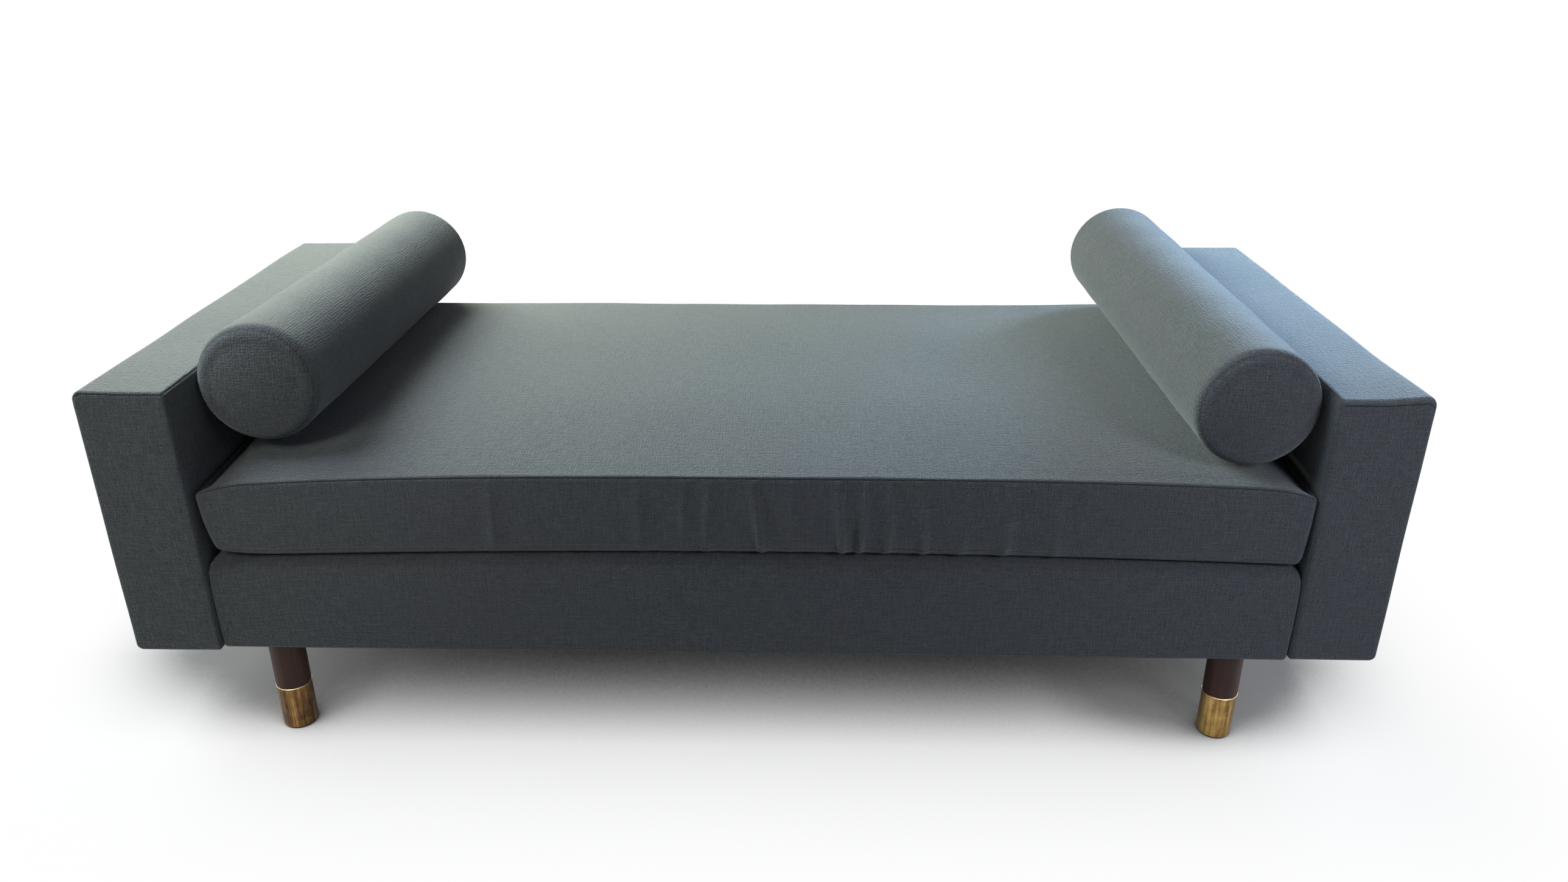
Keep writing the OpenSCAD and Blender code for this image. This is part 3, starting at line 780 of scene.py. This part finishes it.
def make_cushion():
    """Loose seat cushion: a crowned top, a boxed border with soft folds, a seam round each edge."""
    low, high = CUSHION_BOX
    low_seam_z, seam_z = (corner[2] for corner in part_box("cushion_border"))
    top_box = np.array([high[0], high[1], seam_z + TURN])
    points, faces, cloth = soft_box(
        low, top_box, (1, 2, 0), (29 * MM, 24 * MM, 5 * MM, 5 * MM), 10 * MM, 13 * MM,
        {2: [seam_z, low_seam_z], 0: [fold[0] for fold in FOLDS]})
    flat_normals = vertex_normals(points, faces)
    half_w, half_d = high[0], (high[1] - low[1]) / 2
    mid_y = (high[1] + low[1]) / 2
    x, y = points[:, 0] / half_w, (points[:, 1] - mid_y) / half_d
    rise = share_up(points, low[2], seam_z)
    corners = ((-half_w, low[1]), (half_w, low[1]), (half_w, high[1]), (-half_w, high[1]))
    loops = [[(*corner, z) for corner in corners] for z in (seam_z, low_seam_z)]
    gaps = [distance_to_path(points, loop, closed=True) for loop in loops]
    crown = (1.0 - np.abs(x) ** 4) * (1.0 - np.abs(y) ** 3)
    is_top = points[:, 2] > seam_z + 0.5 * MM
    facing_front = np.clip(-flat_normals[:, 1], 0, 1)
    facing_back = np.clip(flat_normals[:, 1], 0, 1)
    # The underside follows the bowed deck, and the top is crowned and falls away at its ends.
    points[:, 2] += rise * seam_lift(x, y) + (1.0 - rise) * deck_bow(points[:, 0])
    shoulder = np.clip((np.abs(x) - 0.93) / 0.07, 0, 1) ** 2
    shoulder = shoulder * np.clip((1.0 - np.abs(y)) / 0.1, 0, 1)
    points[:, 2] += np.where(is_top, 15 * MM * crown - 16 * MM * shoulder, 0.0)
    # The border bellies out in front and behind. Both ends are drawn in under the bolsters, the
    # left one most at its foot, which lifts a little off the deck.
    belly = np.sin(math.pi * rise) * (1.0 - np.abs(x) ** 8)
    points[:, 1] -= 4 * MM * belly * facing_front - 1.5 * MM * belly * facing_back
    pull = np.clip(-x, 0, 1) ** 10 * (1.0 - 0.8 * (y + 1) / 2)
    points[:, 0] += pull * (6 * MM + 18 * MM * (1.0 - rise) ** 2)
    tuck = np.clip(x, 0, 1) ** 14 * (1.0 - rise) ** 2 * (1.0 - y) / 2
    points[:, 0] -= 7 * MM * tuck
    points[:, 2] += 14 * MM * np.clip(-x, 0, 1) ** 24 * (1.0 - rise) ** 3 * (1.0 - (y + 1) / 2)
    moved, normals = swell(points, faces, 1.5 * MM, 5 * MM, 13 * MM, 80)
    # The flat underside doesn't swell, and the ends that face the arms hardly do.
    keep = np.where(normals[:, 2] < -0.5, 0.0, np.where(np.abs(normals[:, 0]) > 0.6, 0.3, 1.0))
    out = moved * keep + 0.8 * MM * waves(points, 31, 0.25) * keep
    points = points + normals * out[:, None]
    # Soft folds hang down the front border from its seam, deepest near the rail.
    fall = (1.0 - rise) ** 0.45 * np.clip(rise / 0.06, 0, 1) * facing_front
    for place, depth, width, slant in FOLDS:
        away = (points[:, 0] - place - slant * 0.05 * (rise - 0.3)) / (width * MM)
        ridge = bell(away, 1.0) - 0.75 * bell(away - 1.7, 1.0) - 0.45 * bell(away + 1.6, 1.0)
        points[:, 1] -= FOLD_DEPTH * depth * ridge * fall
    # Both bolsters press the top down, and the arms and the deck stop the rest.
    points = press_bolsters(points, 0.8 * MM)
    points[:, 0] = np.clip(points[:, 0], low[0], high[0])
    points[:, 2] = np.maximum(points[:, 2], low[2] + deck_bow(points[:, 0]) * (np.abs(x) < 1))
    normals = vertex_normals(points, faces)
    # Each edge's seam sinks in, and its line is painted darker: painted shade in the seam's crease.
    seam = np.zeros(len(points))
    for (gap, run), depth in zip(gaps, (1.5 * MM, 0.8 * MM)):
        out = 0.2 * depth * bell(gap - 6 * MM, 4 * MM) - depth * bell(gap, 1.5 * MM)
        out += 0.10 * MM * pucker(run) * bell(gap, 9 * MM)
        points += normals * out[:, None]
        seam = np.maximum(seam, depth / (1.5 * MM) * bell(gap, 1.0 * MM))
    cushion = build_piece("seat_cushion_cover", points, faces, cloth, MATERIALS["upholstery"], seam)
    dress(cushion, "cushion", *CUSHION_NODES, fill=0.85)
    make_zip(points, faces)


def loft(rings):
    """Points and faces of a closed solid through rings of as many points each."""
    count, around = rings.shape[:2]
    faces = [list(range(around))[::-1], list(range((count - 1) * around, count * around))]
    for n in range(count - 1):
        a, b = n * around, (n + 1) * around
        faces += [[a + k, a + (k + 1) % around, b + (k + 1) % around, b + k] for k in range(around)]
    return rings.reshape(-1, 3), faces


def join(parts):
    """One list of points and one of faces from several."""
    points, faces, start = [], [], 0
    for part_points, part_faces in parts:
        points.append(part_points)
        faces += [[start + corner for corner in face] for face in part_faces]
        start += len(part_points)
    return np.concatenate(points), faces


def make_zip(cushion_points, cushion_faces):
    """Zip in the cushion's back border: a tape, its coil of teeth, a slider and an end stop."""
    low, high = node_box("cushion_zip")
    middle_z = (low[2] + high[2]) / 2
    half_h = (high[2] - low[2]) / 2
    tree = BVHTree.FromPolygons([Vector(point) for point in cushion_points], cushion_faces)

    def on_border(x, z):
        hit = tree.ray_cast(Vector((x, high[1] + 0.1, z)), Vector((0.0, -1.0, 0.0)))[0]
        return hit[1]

    def across(x, profile):
        return [(x, on_border(x, middle_z + z) + y, middle_z + z) for y, z in profile]

    edge, rise = 0.3 * MM, 0.7 * MM
    bevel = half_h - 1.2 * MM
    tape = [(-rise, -half_h), (edge, -half_h), (rise, -bevel), (rise, bevel), (edge, half_h),
            (-rise, half_h)]
    stations = np.linspace(low[0], high[0], 121)
    parts = [loft(np.array([across(x, tape) for x in stations]))]
    pitch, tooth = 2.0 * MM, 0.75 * MM
    turn = np.linspace(0.0, math.tau, 7)[:-1]
    slider_x = low[0] + 30 * MM
    first_tooth, past_teeth = low[0] + 16 * MM, high[0] - 14 * MM
    for n, x in enumerate(np.arange(first_tooth, past_teeth, pitch)):
        way = 1.0 if n % 2 else -1.0
        y = on_border(x, middle_z) + rise
        rings = [[(x + size * tooth * math.cos(t), y + tooth * (0.4 + size * math.sin(t)),
                   middle_z + way * z * MM) for t in turn[::int(way)]]
                 for z, size in ((-0.9, 0.7), (1.6, 1.0), (2.3, 0.6))]
        parts.append(loft(np.array(rings)))
    points, faces = join(parts)
    coil = build_piece("cushion_zip_coil", points, faces, None, MATERIALS["zip"])
    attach(coil, "cushion")
    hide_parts("cushion_zip")

    y = on_border(slider_x, middle_z) + rise
    blocks = (  # low corner, high corner and edge radius in mm, from the slider's middle
        ((-5.0, 0.4, -3.6), (5.0, 2.4, 3.6), 0.9),  # slider
        ((-3.0, 2.0, -0.9), (3.0, 4.0, 0.9), 0.7),  # bridge that holds the puller
        ((-2.2, 3.1, -22.0), (2.2, 4.1, 0.6), 0.45),  # puller
        ((-17.0, 0.2, -2.4), (-13.0, 1.6, 2.4), 0.5),  # end stop
    )
    origin = np.array([slider_x, y, middle_z])
    parts = []
    for first, last, radius in blocks:
        box = soft_box(origin + np.array(first) * MM, origin + np.array(last) * MM, (0, 2, 1),
                       (radius * MM,) * 4, 0.4 * MM, 2 * MM)
        parts.append(box[:2])
    points, faces = join(parts)
    slider = build_piece("cushion_zip_slider", points, faces, None, MATERIALS["slider"])
    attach(slider, "cushion")


# --- Bolsters -------------------------------------------------------------------------------

def make_bolster(side):
    """Round bolster: a sleeve with a domed disc let in at each end."""
    front, back, radius = bolster_line(side)
    axis = back - front
    length = np.linalg.norm(axis)
    axis = axis / length
    across = np.cross(axis, (0.0, 0.0, 1.0))
    across /= np.linalg.norm(across)
    up = np.cross(across, axis)
    edge, dome, inset = 27 * MM, 11 * MM, 1.0 * MM
    turns = 160
    flat = radius - edge
    ends = [(flat * share, dome * share ** 2.2 + inset) for share in np.linspace(0.0, 1.0, 12)[:-1]]
    for turn in np.linspace(0.0, math.pi / 2, 12):
        ends.append((flat + edge * math.sin(turn), inset + dome + edge * (1.0 - math.cos(turn))))
    start, stop = ends[-1][1], length - ends[-1][1]
    along = np.linspace(start, stop, int((stop - start) / (12 * MM)) + 1)[1:-1]
    rings = ends[1:] + [(radius, d) for d in along]
    rings += [(r, length - d) for r, d in reversed(ends[1:])]
    ring_r = np.array([r for r, _ in rings])
    ring_d = np.array([d for _, d in rings])
    angle = np.arange(turns) * math.tau / turns
    spoke = np.cos(angle)[:, None] * across + np.sin(angle)[:, None] * up
    points = [front + axis * ends[0][1]]
    for r, d in rings:
        points.extend(front + axis * d + r * spoke)
    points.append(front + axis * (length - ends[0][1]))
    points = np.array(points)
    run = np.concatenate([[0.0], np.cumsum(np.hypot(np.diff(ring_r), np.diff(ring_d)))])
    last = len(rings) - 1
    cap_edge = radius - edge * (1.0 - math.sin(math.radians(50)))
    faces, cloth = [], []

    def on_cloth(ring, turn, is_cap):
        """Place on the cloth: seen flat on a cap, and unrolled on the sleeve."""
        if turn is None:
            return 0.0, 0.0
        theta = turn * math.tau / turns
        if is_cap:
            return ring_r[ring] * math.cos(theta), ring_r[ring] * math.sin(theta)
        return run[ring], theta * radius

    for n in range(last):
        is_cap = min(ring_r[n], ring_r[n + 1]) < cap_edge - 0.1 * MM
        for t in range(turns):
            nxt = (t + 1) % turns
            a, b = 1 + n * turns, 1 + (n + 1) * turns
            faces.append([a + t, b + t, b + nxt, a + nxt])
            for ring, turn in ((n, t), (n + 1, t), (n + 1, t + 1), (n, t + 1)):
                cloth.append(on_cloth(ring, turn, is_cap))
    for pole, ring in ((0, 0), (len(points) - 1, last)):
        for t in range(turns):
            base = 1 + ring * turns
            face = [(pole, None), (base + t, t), (base + (t + 1) % turns, t + 1)]
            if pole:
                face.reverse()
            faces.append([vertex for vertex, _ in face])
            cloth.extend(on_cloth(ring, turn, True) for _, turn in face)

    middle = (front + back) / 2
    outward = points - front - np.outer((points - front) @ axis, axis)
    outward /= np.maximum(np.linalg.norm(outward, axis=1), 1e-9)[:, None]
    moved, normals = swell(points, faces, 1.0 * MM, 4 * MM, 9 * MM, 10)
    to_end = np.minimum((points - front) @ axis, (back - points) @ axis)
    moved = np.where(to_end > 3 * edge, np.minimum(moved, 2.0 * MM), moved)
    lumps = waves(points - middle, 41 if side == "left" else 43, 0.16)
    points = points + normals * (moved - 1.5 * MM)[:, None] + outward * (0.9 * MM * lumps)[:, None]
    ring_of = np.concatenate([[0], np.repeat(np.arange(len(rings)), turns), [last]])
    turn_of = np.concatenate([[0], np.tile(angle, len(rings)), [0]])
    # The cap seams sink in, and their lines are painted darker: painted shade in each seam's
    # crease.
    seam = np.zeros(len(points))
    seam_ring = int(np.argmin(np.abs(ring_r[:30] - cap_edge)))
    for ring in (seam_ring, last - seam_ring):
        gap = np.abs(run[ring_of] - run[ring])
        gather = np.sin(turn_of * 61.0 + 2.5 * np.sin(turn_of * 9.0)) * bell(gap, 9 * MM)
        out = 0.25 * MM * gather - 0.9 * MM * bell(gap, 1.3 * MM)
        points = points + normals * out[:, None]
        seam = np.maximum(seam, 0.35 * bell(gap, 0.8 * MM))
    inner = ARM_BOX[side][1 if SIDES[side] < 0 else 0][0]
    wall = (inner - SIDES[side] * 0.6 * MM) * SIDES[side]
    points[:, 0] = SIDES[side] * np.minimum(points[:, 0] * SIDES[side], wall)
    bolster = build_piece(
        f"bolster_sleeve_{side}", points, faces, cloth, MATERIALS["upholstery"], seam)
    dress(bolster, f"bolster_{side}", f"bolster_cover_{side}", f"bolster_core_{side}", fill=0.95)


# --- Stage, light and camera ----------------------------------------------------------------

FLOOR_SIZE = 12.0  # half the floor's side
SHADOW_REACH = 0.7  # how far the floor looks for what stands over it
DARKEST_ENDS = 0.215  # the ends of the daybed darken the floor no further than this opening
SHADOW_TONES = (  # how open the floor is to the room, and how light it then is
    (0.12, 0.0), (0.20, 0.14), (0.28, 0.33), (0.34, 0.52),
    (0.42, 0.68), (0.53, 0.86), (0.63, 0.95), (0.75, 1.0),
)
CAMERA_PLACE = (0.0779, -1.9652, 1.2445)  # from the middle of the bed frame, on the floor
CAMERA_LENS, CAMERA_SENSOR = 27.07, 36.0  # mm
CAMERA_TILT, CAMERA_TURN = 24.12, 1.0  # degrees down and to the left


def from_middle(x, y, z):
    """Place given from the middle of the bed frame, on the floor."""
    return Vector((x, FRAME_MID_Y + y, z))


def seen_directly(nodes):
    """1 for camera, glossy and transmission rays, 0 for the rays that light the object."""
    path = nodes.add("ShaderNodeLightPath").outputs
    seen = nodes.math("MAXIMUM", path["Is Camera Ray"], path["Is Glossy Ray"])
    return nodes.math("MAXIMUM", seen, path["Is Transmission Ray"])


def floor_shade(n, place_x, past_y):
    """Lightness of the floor from how open it is, darker under the daybed's two ends."""
    openness = n.add("ShaderNodeAmbientOcclusion", samples=16,
                     inputs={"Distance": SHADOW_REACH}).outputs["AO"]
    from_axis = n.math("ABSOLUTE", n.math("ADD", place_x, 0.08))
    past_end = n.math("SUBTRACT", from_axis, FLOOR_HALF[0])
    fading_out = n.remap(past_end, -0.10, 0.42, 0.46, 0.0, "SMOOTHSTEP")
    fading_in = n.remap(past_end, -0.42, -0.12, kind="SMOOTHSTEP")
    beside = n.math("MULTIPLY", fading_out, fading_in)
    within = n.remap(past_y, -0.25, 0.02, 1.0, 0.0)
    darker = n.math("SUBTRACT", openness, n.math("MULTIPLY", beside, within))
    openness = n.math("MAXIMUM", darker, n.math("MINIMUM", openness, DARKEST_ENDS))
    return n.ramp(openness, [(level, (light,) * 3) for level, light in SHADOW_TONES])


def make_floor():
    """Large white floor that keeps the soft shadow near the daybed and fades to plain white."""
    n = Nodes("white_floor")
    place = n.place()
    axes = n.split(place)
    past_x, past_y = (
        n.math("SUBTRACT", n.math("ABSOLUTE", axes[axis]), half)
        for axis, half in (("X", FLOOR_HALF[0]), ("Y", FLOOR_HALF[1])))
    square_x, square_y = (n.math("POWER", n.math("MAXIMUM", past, 0.0), 2.0)
                          for past in (past_x, past_y))
    outside = n.math("SQRT", n.math("ADD", square_x, square_y))
    inside = n.math("MINIMUM", n.math("MAXIMUM", past_x, past_y), 0.0)
    fade = n.remap(n.math("ADD", outside, inside), 0.05, 0.42, kind="SMOOTHSTEP")
    faint = n.noise(place, 1.5, 2.0)
    color = n.ramp(faint, [(0.2, (0.83, 0.83, 0.835)), (0.8, (0.85, 0.85, 0.855))])
    seen = seen_directly(n)
    plain = n.mix(seen, (0.45, 0.45, 0.45), color)
    lit = n.add("ShaderNodeBsdfDiffuse", inputs={"Color": plain}).outputs[0]
    contact = n.add("ShaderNodeEmission", inputs={
        "Color": floor_shade(n, axes["X"], past_y), "Strength": seen}).outputs[0]
    near = n.add("ShaderNodeMixShader", inputs={
        0: n.math("MULTIPLY", seen, 0.9), 1: lit, 2: contact}).outputs[0]
    white = n.add("ShaderNodeEmission").outputs[0]
    blank = n.math("MULTIPLY", seen, fade)
    shader = n.add("ShaderNodeMixShader", inputs={0: blank, 1: near, 2: white}).outputs[0]
    material = n.finish(shader)
    mesh = bpy.data.meshes.new("studio_floor")
    corners = [(x * FLOOR_SIZE, y * FLOOR_SIZE, 0) for x, y in ((-1, -1), (1, -1), (1, 1), (-1, 1))]
    mesh.from_pydata(corners, [], [(0, 1, 2, 3)])
    mesh.materials.append(material)
    floor = bpy.data.objects.new("studio_floor", mesh)
    bpy.context.scene.collection.objects.link(floor)


def make_world():
    """Soft white surround: full white to the camera and in reflections, faint as light."""
    world = bpy.data.worlds.new("studio_world")
    bpy.context.scene.world = world
    world.use_nodes = True
    n = Nodes("studio_world", world.node_tree)
    ambient, white = (
        n.add("ShaderNodeBackground", inputs={"Color": color, "Strength": strength}).outputs[0]
        for color, strength in (((0.97, 0.98, 1.0, 1.0), 0.01), ((1.0, 1.0, 1.0, 1.0), 1.0)))
    choose = n.add("ShaderNodeMixShader", inputs={0: seen_directly(n), 1: ambient, 2: white})
    n.add("ShaderNodeOutputWorld", inputs={"Surface": choose.outputs[0]})


def add_area(name, place, target, size, power, color, spread=180.0):
    """Rectangular lamp that faces a target and that the camera doesn't see."""
    light = bpy.data.lights.new(name, "AREA")
    light.shape = "RECTANGLE"
    light.size, light.size_y = size
    light.energy = power
    light.color = color
    light.spread = math.radians(spread)
    lamp = bpy.data.objects.new(name, light)
    lamp.location = place
    lamp.rotation_euler = (Vector(target) - Vector(place)).to_track_quat("-Z", "Y").to_euler()
    lamp.visible_camera = False
    bpy.context.scene.collection.objects.link(lamp)


def around(turn, height, distance=3.2):
    """Place round the seat: degrees from straight behind towards the left, and above the seat."""
    turn, height = math.radians(turn), math.radians(height)
    level = distance * math.cos(height)
    return from_middle(-math.sin(turn) * level, math.cos(turn) * level,
                       0.5 + distance * math.sin(height))


def make_lights():
    """Broad light from the left and behind, a bluer one on the right arm, faint ones in front."""
    seat, window, room = from_middle(0.0, 0.0, 0.5), (1.8, 1.4), (0.8, 0.6)
    add_area("window_low", around(38, 20), seat, window, 113.0, (0.92, 1.0, 0.79))
    add_area("sky_left", around(90, 48), seat, window, 85.0, (0.79, 0.93, 1.0))
    add_area("window_right", from_middle(1.55, 0.95, 1.05), from_middle(0.9, 0.0, 0.6),
             (0.9, 0.5), 4.4, (0.45, 0.70, 1.0), 50.0)
    add_area("room_right", from_middle(1.7, -1.9, 1.7), from_middle(0.9, -0.42, 0.55),
             room, 2.4, (0.83, 0.88, 1.0), 60.0)
    add_area("room_left", from_middle(-1.2, -2.0, 2.0), from_middle(-0.8, -0.42, 0.75),
             room, 1.1, (1.0, 1.0, 0.90), 45.0)


def make_camera():
    """Camera in front of the daybed, a little right of its middle, looking down on it."""
    camera_data = bpy.data.cameras.new("camera")
    camera_data.sensor_width = CAMERA_SENSOR
    camera_data.lens = CAMERA_LENS
    camera = bpy.data.objects.new("camera", camera_data)
    camera.location = from_middle(*CAMERA_PLACE)
    tilt, turn = math.radians(CAMERA_TILT), math.radians(CAMERA_TURN)
    camera.rotation_euler = (math.pi / 2 - tilt, 0.0, turn)
    bpy.context.scene.collection.objects.link(camera)
    bpy.context.scene.camera = camera


make_camera()
dress_cad_nodes()
for side_name in SIDES:
    make_arm(side_name)
    make_bolster(side_name)
for end_name in ENDS:
    make_rail(end_name)
make_deck()
make_cushion()
make_floor()
make_world()
make_lights()
bpy.context.scene.view_settings.view_transform = "Standard"
